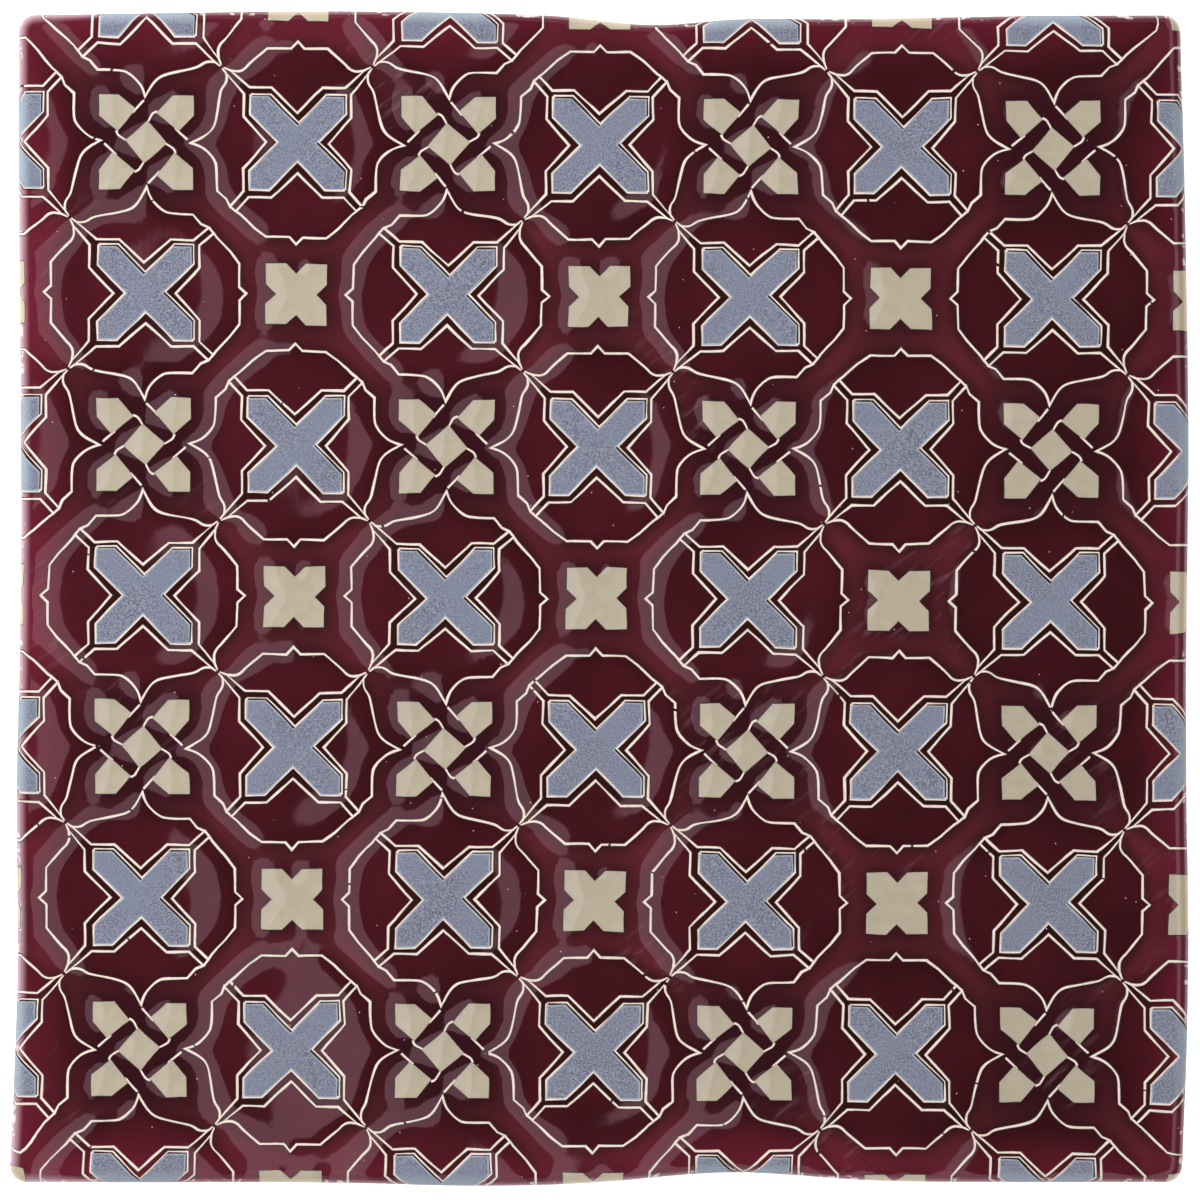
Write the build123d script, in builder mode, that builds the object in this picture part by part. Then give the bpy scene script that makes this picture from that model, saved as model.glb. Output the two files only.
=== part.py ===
"""A square glazed wall tile with raised interlaced strapwork on its face.

The tile is one fired piece with hand-pressed, gently wavy sides and a keyed back. It lies on
its back with the decorated face up: the origin is the middle of the back, +X runs to the
right and +Y to the top of the pattern.
"""

import os
from math import ceil, exp, sqrt

from build123d import *

# Body, in millimetres
SIDE = 150.0
THICKNESS = 9.0
CORNER_RADIUS = 2.2
FACE_EDGE_RADIUS = 1.6
STATIONS = 15

# Waves of the hand-pressed sides: (place along the side, rise outwards, reach)
TOP_WAVES = ((-36.0, 0.55, 26.0), (6.0, -1.15, 9.0), (30.0, -0.45, 18.0))
BOTTOM_WAVES = ((-14.0, 0.5, 16.0), (17.0, -1.25, 13.0))
LEFT_WAVES = ((14.0, -0.3, 22.0), (-28.0, 0.3, 14.0), (-80.0, 1.2, 22.0))
RIGHT_WAVES = ((78.0, -0.7, 22.0), (20.0, 0.35, 22.0), (-44.0, 0.35, 16.0), (-78.0, -0.5, 14.0))

# Strapwork: rings on a square grid and a knot in the middle of every four of them
REPEAT = 38.84
RELIEF = 0.5
PATTERN_SHIFT = -0.75
PATTERN_TURN = -0.39

# Rings, each round a notched square; every second one has pointed ears on its corners
SQUARE_HALF = 3.91
NOTCH_HALF = 1.29
NOTCH_DEPTH = 1.31
RING_HALF = 7.33
RING_CORNER = 3.47
SPIKE_HALF = 0.8
SPIKE_DEPTH = 0.93
EAR_FLARE = (10.0, 7.1)

# Knots, each with two arms that join the plain rings and two leaves that point at the eared ones
ARM_WIDTH = 4.25
LOBE_HALF = 9.2
LOBE_FLAT_END = -2.95
LOBE_BULGE = (-1.08, 7.8)
CUSP = 5.8
LEAF_SHOULDER = (1.4, 8.2)
LEAF_SIDE = (3.7, 9.05)
LEAF_NECK = (6.9, 9.75)
LEAF_TIP = 9.75
TIP_GAP = 0.3

# Openings of a knot: four five-sided fields about a diamond, all turning one way
FIELD_HALF = 6.04
FIELD_LONG = 2.7
FIELD_SHORT = 2.57
FIELD_TIP = (1.34, 4.19)
FIELD_HEEL = (3.68, 1.34)
DIAMOND_SIDE = 3.82
DIAMOND_TURN = 40.6

# Keys of the back: shallow square pockets between ribs that bed into the adhesive
KEY_SIDE = 19.0
KEY_RIB = 4.0
KEY_BORDER = 6.0
KEY_DEPTH = 0.8

HALF = SIDE / 2
CELL = REPEAT / 2
RISING_DIAGONAL = Plane(origin=(0, 0, 0), z_dir=(1, -1, 0))
FALLING_DIAGONAL = Plane(origin=(0, 0, 0), z_dir=(1, 1, 0))


def outward(place, waves):
    """How far a side stands out from its straight line at a place along it."""
    return sum(rise * exp(-(((place - middle) / reach) ** 2)) for middle, rise, reach in waves)


# Plain ring: a chamfered square with a spike in each side, round a square notched in each side
with BuildSketch() as ring:
    Rectangle(2 * RING_HALF, 2 * RING_HALF)
    chamfer(ring.vertices(), RING_CORNER)
    with PolarLocations(0, 4):
        Polygon(
            (RING_HALF, -SPIKE_HALF), (RING_HALF, SPIKE_HALF), (RING_HALF - SPIKE_DEPTH, 0),
            align=None, mode=Mode.SUBTRACT,
        )
    with BuildSketch(mode=Mode.PRIVATE) as square:
        Rectangle(2 * SQUARE_HALF, 2 * SQUARE_HALF)
        with PolarLocations(0, 4):
            Polygon(
                (SQUARE_HALF, -NOTCH_HALF), (SQUARE_HALF, NOTCH_HALF), (SQUARE_HALF - NOTCH_DEPTH, 0),
                align=None, mode=Mode.SUBTRACT,
            )
    add(square.sketch, mode=Mode.SUBTRACT)

# Eared ring: the same ring with a pointed ear on each chamfer
ring_flat = RING_HALF - RING_CORNER
ear_tip = CELL - LEAF_TIP - TIP_GAP
with BuildSketch() as eared_ring:
    add(ring.sketch)
    with PolarLocations(0, 4):
        Polygon(
            (RING_HALF, ring_flat), EAR_FLARE, (ear_tip, ear_tip), EAR_FLARE[::-1],
            (ring_flat, RING_HALF), align=None,
        )

# Knot with its arms on the falling diagonal: one eighth of the outline, mirrored twice
arm_root = (-LOBE_HALF + ARM_WIDTH / sqrt(2), LOBE_HALF)
ring_middle = (RING_HALF - RING_CORNER / 2 + SQUARE_HALF) / 2
arm_run = CELL - ring_middle - (LOBE_HALF - arm_root[0]) / 2
arm_end = (arm_root[0] - arm_run, arm_root[1] + arm_run)
with BuildSketch() as knot:
    with BuildLine():
        Polyline(arm_end, arm_root, (LOBE_FLAT_END, LOBE_HALF))
        ThreePointArc((LOBE_FLAT_END, LOBE_HALF), LOBE_BULGE, (0, CUSP))
        ThreePointArc((0, CUSP), LEAF_SHOULDER, LEAF_SIDE)
        Polyline(LEAF_SIDE, LEAF_NECK, (LEAF_TIP, LEAF_TIP))
        mirror(about=RISING_DIAGONAL)
        mirror(about=FALLING_DIAGONAL)
        Line(arm_end, (-arm_end[1], -arm_end[0]))
        Line((arm_end[1], arm_end[0]), (-arm_end[0], -arm_end[1]))
    make_face()
    with PolarLocations(0, 4):
        Polygon(
            (-FIELD_HALF, FIELD_HALF), (-FIELD_HALF, FIELD_HALF - FIELD_LONG),
            (-FIELD_HEEL[0], FIELD_HEEL[1]), (-FIELD_TIP[0], FIELD_TIP[1]),
            (-FIELD_HALF + FIELD_SHORT, FIELD_HALF), align=None, mode=Mode.SUBTRACT,
        )
    Rectangle(DIAMOND_SIDE, DIAMOND_SIDE, rotation=DIAMOND_TURN, mode=Mode.SUBTRACT)

# The whole face: rings and knots change hands from cell to cell, and the fields are what is left
ring_reach = int((HALF + RING_HALF) // REPEAT)
knot_reach = ceil((HALF + LEAF_TIP) / REPEAT - 0.5)
mirrored_knot = knot.sketch.mirror(Plane.YZ)
with BuildSketch() as fields:
    Rectangle(SIDE + REPEAT, SIDE + REPEAT)
    for column in range(-ring_reach, ring_reach + 1):
        for row in range(-ring_reach, ring_reach + 1):
            with Locations((column * REPEAT, row * REPEAT)):
                eared = (column + row) % 2 == 1
                add(eared_ring.sketch if eared else ring.sketch, mode=Mode.SUBTRACT)
    for column in range(-knot_reach, knot_reach):
        for row in range(-knot_reach, knot_reach):
            with Locations(((column + 0.5) * REPEAT, (row + 0.5) * REPEAT)):
                falling = (column + row) % 2 == 1
                add(knot.sketch if falling else mirrored_knot, mode=Mode.SUBTRACT)

with BuildPart() as tile:
    with BuildSketch():
        with BuildLine():
            places = [SIDE * step / STATIONS - HALF for step in range(1, STATIONS)]
            top_left = (-HALF - outward(HALF, LEFT_WAVES), HALF + outward(-HALF, TOP_WAVES))
            top_right = (HALF + outward(HALF, RIGHT_WAVES), HALF + outward(HALF, TOP_WAVES))
            bottom_left = (-HALF - outward(-HALF, LEFT_WAVES), -HALF - outward(-HALF, BOTTOM_WAVES))
            bottom_right = (HALF + outward(-HALF, RIGHT_WAVES), -HALF - outward(HALF, BOTTOM_WAVES))
            top = [(place, HALF + outward(place, TOP_WAVES)) for place in places]
            right = [(HALF + outward(place, RIGHT_WAVES), place) for place in places]
            bottom = [(place, -HALF - outward(place, BOTTOM_WAVES)) for place in places]
            left = [(-HALF - outward(place, LEFT_WAVES), place) for place in places]
            Spline(top_left, *top, top_right)
            Spline(bottom_right, *right, top_right)
            Spline(bottom_left, *bottom, bottom_right)
            Spline(bottom_left, *left, top_left)
        make_face()
    extrude(amount=THICKNESS)
    fillet(tile.edges().filter_by(Axis.Z), CORNER_RADIUS)
    fillet(tile.edges().group_by(Axis.Z)[-1], FACE_EDGE_RADIUS)

    key_pitch = KEY_SIDE + KEY_RIB
    key_count = int((SIDE - 2 * KEY_BORDER + KEY_RIB) // key_pitch)
    with BuildSketch():
        with GridLocations(key_pitch, key_pitch, key_count, key_count):
            Rectangle(KEY_SIDE, KEY_SIDE)
    extrude(amount=KEY_DEPTH, mode=Mode.SUBTRACT)

    pattern_origin = Plane((PATTERN_SHIFT, 0, THICKNESS - RELIEF))
    with BuildSketch(pattern_origin.rotated((0, 0, PATTERN_TURN))):
        add(fields.sketch)
    extrude(amount=2 * RELIEF, mode=Mode.SUBTRACT)

tile.part.label = "tile"

os.makedirs("parts", exist_ok=True)
export_step(tile.part, "parts/tile.step")
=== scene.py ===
"""Looks of a square glazed wall tile with raised interlaced strapwork.

The tile is one closed mesh. Its pattern is drawn in plan as closed loops, the loops are
triangulated together with a fine net of points, and each triangle takes the glaze of the
uppermost loop that holds it. The relief then lifts the points, so straps, dished fields and the
rounded edge are real shape. Plan sizes are in millimetres, with +Y to the top of the pattern.
"""

from __future__ import annotations
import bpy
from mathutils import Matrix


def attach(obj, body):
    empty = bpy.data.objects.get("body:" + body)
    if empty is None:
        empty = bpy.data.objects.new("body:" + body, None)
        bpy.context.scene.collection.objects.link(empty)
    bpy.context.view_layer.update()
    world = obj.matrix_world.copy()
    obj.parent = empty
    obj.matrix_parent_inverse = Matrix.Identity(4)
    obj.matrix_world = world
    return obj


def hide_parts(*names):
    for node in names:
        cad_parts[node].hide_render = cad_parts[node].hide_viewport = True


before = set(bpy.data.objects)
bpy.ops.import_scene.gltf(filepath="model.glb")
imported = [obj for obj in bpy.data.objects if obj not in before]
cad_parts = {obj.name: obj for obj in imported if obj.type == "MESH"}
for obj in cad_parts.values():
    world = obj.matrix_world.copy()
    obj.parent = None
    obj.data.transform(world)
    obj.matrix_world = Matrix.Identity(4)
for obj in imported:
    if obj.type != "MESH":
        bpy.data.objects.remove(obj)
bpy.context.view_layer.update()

import logging
import math
from dataclasses import dataclass
from enum import IntEnum

import bpy
import numpy as np
from mathutils import Vector
from mathutils.geometry import delaunay_2d_cdt
from mathutils.kdtree import KDTree

LOG = logging.getLogger("tile")
MM = 0.001

CORNER_CUT = 0.25
TINY = 1e-6

# Seeds of the hand's sway, of the breaks in its lines, of the body's waves and of each layer's tremble
SWAY_SEED = 7
BREAK_SEED = 23
WAVE_SEED = 41
TREMBLE_SEED = 100

Points = list[tuple[float, float]]
Tree = bpy.types.NodeTree
Socket = bpy.types.NodeSocket


class Coat(IntEnum):
    """What covers a triangle of the tile; the value is its material slot."""

    STRAP = 0
    FIELD = 1
    MOAT = 2
    LINE = 3
    KEYLINE = 4
    BLUE = 5
    CREAM = 6
    BISQUE = 7
    HALO = 8


class Layer(IntEnum):
    """The order in which the coats lie on each other: a higher layer covers a lower one."""

    CHANNEL = 1
    FIELD_RIM = 2
    CROSS_RIM = 3
    CROSS_LINE = 4
    FIELD_LINE = 5
    FIELD_EDGE = 6
    FIELD = 7
    SHAPE_EDGE = 8
    STRAND_EDGE = 9
    STRAND = 10
    CREAM = 11
    CROSSING = 12
    BREAK = 13


Loop = tuple[Layer, Coat, np.ndarray]


def smooth(points: Points, rounds: int = 2) -> Points:
    """Rounds the corners of an open line and keeps its two ends.

    Args:
        points: the line's points.
        rounds: how often each corner is cut.

    Returns:
        The rounded line's points.
    """
    line = [np.array(p, float) for p in points]
    keep = 1.0 - CORNER_CUT
    for _ in range(rounds):
        cut = [line[0]]
        for a, b in zip(line[:-1], line[1:]):
            cut += [keep * a + CORNER_CUT * b, CORNER_CUT * a + keep * b]
        line = cut + [line[-1]]
        line = [line[0]] + line[2:-2] + [line[-1]]
    return [(float(p[0]), float(p[1])) for p in line]


def grown(loop: np.ndarray, distance: float, sharpest: float = 2.4) -> np.ndarray:
    """Moves a closed loop outwards, or inwards with a negative distance.

    Args:
        loop: the loop's points, in either direction.
        distance: how far its sides move.
        sharpest: the furthest a corner may move, as a multiple of the distance.

    Returns:
        The moved loop.
    """
    ahead = np.roll(loop, -1, axis=0) - loop
    area = np.sum(loop[:, 0] * np.roll(loop[:, 1], -1) - loop[:, 1] * np.roll(loop[:, 0], -1))
    ahead /= np.linalg.norm(ahead, axis=1, keepdims=True)
    normal = np.stack([ahead[:, 1], -ahead[:, 0]], axis=1) * np.sign(area)
    before = np.roll(normal, 1, axis=0)
    lean = 1.0 + np.sum(normal * before, axis=1, keepdims=True)
    move = (normal + before) / np.maximum(lean, TINY)
    length = np.linalg.norm(move, axis=1, keepdims=True)
    return loop + distance * move * np.minimum(1.0, sharpest / length)


def divided(loop: np.ndarray, step: float) -> np.ndarray:
    """Adds points along a closed loop so that no side is longer than a step.

    Args:
        loop: the loop's points.
        step: the longest side.

    Returns:
        The loop with the added points.
    """
    out = []
    for a, b in zip(loop, np.roll(loop, -1, axis=0)):
        count = max(1, math.ceil(np.linalg.norm(b - a) / step))
        out += [a + (b - a) * k / count for k in range(count)]
    return np.array(out)


def inside(points: np.ndarray, loop: np.ndarray) -> np.ndarray:
    """Tells which points a closed loop holds, by counting its crossings to the right.

    Args:
        points: the plan points.
        loop: the loop's points, in either direction.

    Returns:
        True for each point that the loop holds.
    """
    held = np.zeros(len(points), bool)
    near = np.all((points >= loop.min(axis=0)) & (points <= loop.max(axis=0)), axis=1)
    x, y = points[near, 0], points[near, 1]
    flips = np.zeros(len(x), bool)
    for (ax, ay), (bx, by) in zip(loop, np.roll(loop, -1, axis=0)):
        if ay != by:
            flips ^= ((ay > y) != (by > y)) & (x < (bx - ax) * (y - ay) / (by - ay) + ax)
    held[near] = flips
    return held


def turned(points: np.ndarray, degrees: float) -> np.ndarray:
    """Turns plan points about the origin.

    Args:
        points: the plan points.
        degrees: how far they turn, anticlockwise.

    Returns:
        The turned points.
    """
    angle = math.radians(degrees)
    spin = np.array([[math.cos(angle), math.sin(angle)], [-math.sin(angle), math.cos(angle)]])
    return points @ spin


@dataclass
class Outline:
    """The tile's plan: a square with hand-pressed, gently wavy sides and rounded corners.

    Each wave is its place along the side, its rise outwards and its reach.
    """

    side: float = 150.0
    corner_radius: float = 2.2
    corner_steps: int = 6
    corner_margin: float = 0.3
    step: float = 0.6
    top: tuple = ((-36.0, 0.55, 26.0), (6.0, -1.15, 9.0), (30.0, -0.45, 18.0))
    bottom: tuple = ((-14.0, 0.5, 16.0), (17.0, -1.25, 13.0))
    left: tuple = ((14.0, -0.3, 22.0), (-28.0, 0.3, 14.0), (-80.0, 1.2, 22.0))
    right: tuple = ((78.0, -0.7, 22.0), (20.0, 0.35, 22.0), (-44.0, 0.35, 16.0), (-78.0, -0.5, 14.0))

    def reach(self, place: float, waves: tuple) -> float:
        """How far a side lies from the middle of the tile at a place along it."""
        bulge = sum(rise * math.exp(-(((place - mid) / wide) ** 2)) for mid, rise, wide in waves)
        return self.side / 2 + bulge

    def corner(self, sx: int, sy: int) -> Points:
        """Points of one rounded corner, anticlockwise.

        Args:
            sx: -1 for a left corner, 1 for a right one.
            sy: -1 for a bottom corner, 1 for a top one.

        Returns:
            The arc's points.
        """
        half, r = self.side / 2, self.corner_radius
        across, along = self.right if sx > 0 else self.left, self.top if sy > 0 else self.bottom
        cx = sx * (self.reach(sy * half, across) - r)
        cy = sy * (self.reach(sx * half, along) - r)
        start = {(1, -1): -90, (1, 1): 0, (-1, 1): 90, (-1, -1): 180}[(sx, sy)]
        turns = [math.radians(start + 90 * k / self.corner_steps) for k in range(self.corner_steps + 1)]
        return [(cx + r * math.cos(t), cy + r * math.sin(t)) for t in turns]

    def loop(self) -> np.ndarray:
        """Draws the whole outline.

        Returns:
            Its points, anticlockwise and a step apart.
        """
        half, r = self.side / 2, self.corner_radius
        count = int(self.side / self.step)
        places = [self.side * k / count - half for k in range(1, count)]
        places = [p for p in places if abs(p) < half - r - self.corner_margin]
        points = self.corner(-1, -1) + [(p, -self.reach(p, self.bottom)) for p in places]
        points += self.corner(1, -1) + [(self.reach(p, self.right), p) for p in places]
        points += self.corner(1, 1) + [(p, self.reach(p, self.top)) for p in reversed(places)]
        points += self.corner(-1, 1) + [(-self.reach(p, self.left), p) for p in reversed(places)]
        return np.array(points)


@dataclass
class Strapwork:
    """The interlaced pattern: rings on a square grid and a knot in the middle of every four.

    Points are given about the middle of the knot, ring or cross they belong to.
    """

    repeat: float = 38.84
    shift: float = -0.75
    turn: float = -0.39
    line: float = 0.278
    keyline: float = 0.1
    step: float = 1.3
    cells: int = 2

    lobe: tuple = ((-6.17, 9.21), (-2.96, 9.21), (-2.06, 8.74), (-1.41, 8.18), (-0.77, 7.46),
                   (-0.39, 6.69), (-0.13, 5.79))
    leaf: tuple = ((-0.13, 5.79), (0.77, 7.46), (1.41, 8.23), (2.19, 8.69), (3.73, 9.05),
                   (6.30, 9.52), (6.94, 9.77), (7.59, 10.24), (8.25, 10.40), (8.93, 10.30))
    knot_mouth: tuple = ((-6.25, 12.60), (-8.18, 10.85), (-7.20, 10.42))
    ring_mouth: tuple = (-8.82, 11.58)
    knot_vee: tuple = ((6.30, 12.53), (3.34, 12.53), (0.0, 15.51), (-3.34, 12.53))

    ring_side: tuple = ((6.40, 0.0), (7.33, 0.85), (7.33, 3.86))
    armed_corner: tuple = ((8.49, 5.45), (10.16, 7.25), (10.60, 7.84), (12.42, 6.17), (12.42, 3.34))
    eared_corner: tuple = ((9.26, 6.17), (9.90, 6.74), (10.21, 7.41), (10.20, 8.02), (10.10, 8.62))
    leaf_tail: tuple = ((8.93, 10.30), (9.60, 9.76))
    ear_tail: tuple = ((10.10, 8.62), (9.74, 9.46))
    tail_end: float = 0.16
    crossing: float = 0.17
    eared_vee: tuple = ((12.22, 6.17), (12.22, 3.34))
    vee_tip: float = 15.46

    cross_arm: tuple = ((2.36, 0.0), (6.02, 3.66), (6.02, 6.02), (3.66, 6.02))
    cross_rim: float = 0.18
    halo: float = 0.16
    cross_moat: float = 1.2
    key_shift: float = 0.19
    channel_start: float = 6.0
    channel_wide: float = 1.3
    mouth_reach: float = 8.5
    mouth_wide: float = 0.9
    point_reach: float = 9.84
    point_wide: float = 0.3
    spot_stretch: float = 1.6

    square_half: float = 3.91
    notch_half: float = 1.29
    notch_depth: float = 1.31
    pentagon: tuple = ((-6.04, 6.04), (-3.50, 6.04), (-1.34, 4.19), (-3.68, 1.34), (-6.04, 3.32))
    diamond: tuple = ((0.21, 2.70), (2.70, -0.21), (-0.21, -2.70), (-2.70, 0.21))
    over_edges: tuple = (((-0.30, 5.34), (-0.85, 4.72), (-1.40, 4.10), (-1.72, 3.72)),
                         ((1.40, 3.86), (0.86, 3.68), (0.46, 3.02), (0.22, 2.58)))
    over_line: float = 0.22

    def knot_field(self) -> np.ndarray:
        """The field above a knot whose arms run up to the left and down to the right."""
        loop = [*self.knot_mouth, *smooth(self.lobe), *smooth(self.leaf)[1:], *self.knot_vee]
        return np.array(loop)

    def ring_field(self, eared: bool) -> np.ndarray:
        """The field to the right of a ring.

        Args:
            eared: whether the ring has pointed ears on its corners.

        Returns:
            The field's outline.
        """
        half = [*self.ring_side]
        if eared:
            half += [*smooth((self.ring_side[-1], *self.eared_corner))[1:], *self.eared_vee]
        else:
            half += [*self.armed_corner]
        lower = [(x, -y) for x, y in half[:0:-1]]
        return np.array([*half, (self.vee_tip, 0.0), *lower])

    def cross(self) -> np.ndarray:
        """The blue cross."""
        arm = np.array(self.cross_arm)
        return np.concatenate([turned(arm, 90 * k) for k in range(4)])

    def square(self) -> np.ndarray:
        """The notched square in the middle of a ring.

        Returns:
            The square's outline.
        """
        half, notch, apex = self.square_half, self.notch_half, self.square_half - self.notch_depth
        side = np.array([(half, -half), (half, -notch), (apex, 0.0), (half, notch)])
        return np.concatenate([turned(side, 90 * k) for k in range(4)])

    def band(self, points: Points, wide_start: float, wide_end: float) -> np.ndarray:
        """A band along a line, which may taper.

        Args:
            points: the line's points.
            wide_start: the band's width at its start.
            wide_end: its width at its end.

        Returns:
            The band's outline.
        """
        line = np.array(points, float)
        ahead = np.gradient(line, axis=0)
        ahead /= np.linalg.norm(ahead, axis=1, keepdims=True)
        side = np.stack([-ahead[:, 1], ahead[:, 0]], axis=1)
        half = np.linspace(wide_start, wide_end, len(line))[:, None] / 2
        return np.concatenate([line - side * half, (line + side * half)[::-1]])

    def knot_loops(self) -> list[Loop]:
        """Everything drawn about one knot.

        Returns:
            The loops with their layers and coats.
        """
        out: list[Loop] = []
        top = self.knot_field()
        left = -top[:, ::-1]
        for field in (top, left, -top, -left):
            out += self.outlined(field)
        seal = self.band((self.knot_mouth[1], self.ring_mouth), self.line, self.line)
        tail = self.band(self.leaf_tail, self.line, self.tail_end)
        for stroke in (seal, tail):
            mirrored = stroke[:, ::-1]
            out += [(Layer.FIELD_LINE, Coat.LINE, loop) for loop in (stroke, -mirrored, -stroke, mirrored)]
        for k in range(4):
            spin = -90 * k
            out += self.outlined_cream(turned(np.array(self.pentagon), spin))
            for edge in self.over_edges:
                line, rim = smooth(edge), 2 * self.keyline
                dark = self.band(line, self.line + rim, self.over_line + rim)
                pale = self.band(line, self.line, self.over_line)
                out.append((Layer.STRAND_EDGE, Coat.KEYLINE, turned(dark, spin)))
                out.append((Layer.STRAND, Coat.LINE, turned(pale, spin)))
        out += self.outlined_cream(np.array(self.diamond))
        return out

    def outlined(self, field: np.ndarray) -> list[Loop]:
        """A burgundy field inside its trailed line, with the dark edge on both sides of it.

        Args:
            field: the field's outline, along the middle of its line.

        Returns:
            The loops with their layers and coats.
        """
        half = self.line / 2
        return [(Layer.FIELD_RIM, Coat.KEYLINE, grown(field, half + self.keyline)),
                (Layer.FIELD_LINE, Coat.LINE, grown(field, half)),
                (Layer.FIELD_EDGE, Coat.KEYLINE, grown(field, -half)),
                (Layer.FIELD, Coat.FIELD, grown(field, -half - self.keyline))]

    def outlined_cream(self, shape: np.ndarray) -> list[Loop]:
        """A cream shape inside its thin dark edge."""
        dark = grown(shape, self.keyline)
        return [(Layer.SHAPE_EDGE, Coat.KEYLINE, dark), (Layer.CREAM, Coat.CREAM, shape)]

    def ring_loops(self, eared: bool) -> list[Loop]:
        """Everything drawn about one ring: its four fields and its notched square.

        Args:
            eared: whether the ring has pointed ears on its corners.

        Returns:
            The loops with their layers and coats.
        """
        out = self.outlined_cream(self.square())
        field = self.ring_field(eared)
        tail = self.band(self.ear_tail, self.line, self.tail_end)
        for k in range(4):
            out += self.outlined(turned(field, 90 * k))
            if eared:
                strokes = (tail, tail * np.array([1.0, -1.0]))
                out += [(Layer.FIELD_LINE, Coat.LINE, turned(stroke, 90 * k)) for stroke in strokes]
        return out

    def channel(self, sx: int, sy: int, reach: float, wide: float) -> np.ndarray:
        """A dark channel that runs out from a cross along one diagonal.

        Args:
            sx: -1 towards the left, 1 towards the right.
            sy: -1 towards the bottom, 1 towards the top.
            reach: where it ends, along each axis.
            wide: its width there.

        Returns:
            The channel's outline.
        """
        start = self.channel_start
        run = ((start * sx, start * sy), (reach * sx, reach * sy))
        return self.band(run, self.channel_wide, wide)

    def cross_loops(self, reaches: dict[tuple[int, int], float]) -> list[Loop]:
        """Everything drawn about one cross.

        Args:
            reaches: how far the dark channel runs out along each diagonal.

        Returns:
            The loops with their layers and coats.
        """
        blue, long = self.cross(), self.spot_stretch
        shifted = blue + self.key_shift
        out = [(Layer.CHANNEL, Coat.MOAT, grown(blue, self.cross_moat))]
        for (sx, sy), reach in reaches.items():
            wide = self.mouth_wide if reach == self.mouth_reach else self.point_wide
            out.append((Layer.CHANNEL, Coat.MOAT, self.channel(sx, sy, reach, wide)))
            if reach == self.point_reach:
                middle = np.array([sx, sy]) * self.repeat / 4
                spot = np.array([(long * sx, -long * sy), (sx, sy), (-long * sx, long * sy), (-sx, -sy)])
                out.append((Layer.CROSSING, Coat.KEYLINE, middle + self.crossing * spot))
        for shape in (blue, shifted):
            out.append((Layer.CROSS_RIM, Coat.KEYLINE, grown(shape, self.cross_rim + self.keyline)))
            out.append((Layer.CROSS_LINE, Coat.LINE, grown(shape, self.cross_rim)))
        out.append((Layer.SHAPE_EDGE, Coat.KEYLINE, shifted))
        out.append((Layer.STRAND_EDGE, Coat.HALO, blue))
        out.append((Layer.STRAND, Coat.BLUE, grown(blue, -self.halo)))
        return out

    def placed(self, loop: np.ndarray, x: float, y: float) -> np.ndarray:
        """Puts a loop at a place of the pattern, on the slightly turned and shifted tile."""
        return turned(loop + np.array([x, y]), self.turn) + np.array([self.shift, 0.0])

    def loops(self) -> list[Loop]:
        """Draws the whole face.

        Returns:
            Its loops with their layers and coats, from the lowest layer to the highest.
        """
        size, out = self.repeat, []
        knot = self.knot_loops()
        rings = {eared: self.ring_loops(eared) for eared in (False, True)}
        for column in range(-self.cells, self.cells):
            for row in range(-self.cells, self.cells):
                flip = np.array([1.0 if (column + row) % 2 else -1.0, 1.0])
                at = ((column + 0.5) * size, (row + 0.5) * size)
                out += [(layer, coat, self.placed(loop * flip, *at)) for layer, coat, loop in knot]
        for column in range(-self.cells, self.cells + 1):
            for row in range(-self.cells, self.cells + 1):
                eared = (column + row) % 2 == 1
                near = self.point_reach if eared else self.mouth_reach
                far = self.mouth_reach if eared else self.point_reach
                level = self.cross_loops({(-1, 1): near, (-1, -1): near, (1, 1): far, (1, -1): far})
                upright = self.cross_loops({(1, -1): near, (-1, -1): near, (1, 1): far, (-1, 1): far})
                for shapes, dx, dy in ((rings[eared], 0.0, 0.0), (level, 0.5, 0.0), (upright, 0.0, 0.5)):
                    at = ((column + dx) * size, (row + dy) * size)
                    out += [(layer, coat, self.placed(loop, *at)) for layer, coat, loop in shapes]
        return sorted(out, key=lambda entry: entry[0])

    def folded(self, points: np.ndarray) -> tuple[np.ndarray, np.ndarray]:
        """Brings plan points into the one cell that the whole pattern mirrors.

        Args:
            points: points on the tile.

        Returns:
            The points about the knot of that cell, and -1 where X was mirrored or 1.
        """
        flat = turned(points - np.array([self.shift, 0.0]), -self.turn)
        cell = np.floor(flat / self.repeat)
        local = flat - (cell + 0.5) * self.repeat
        flip = np.where((cell[:, 0] + cell[:, 1]) % 2 == 1, 1.0, -1.0)
        local[:, 0] *= flip
        return local, flip


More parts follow.
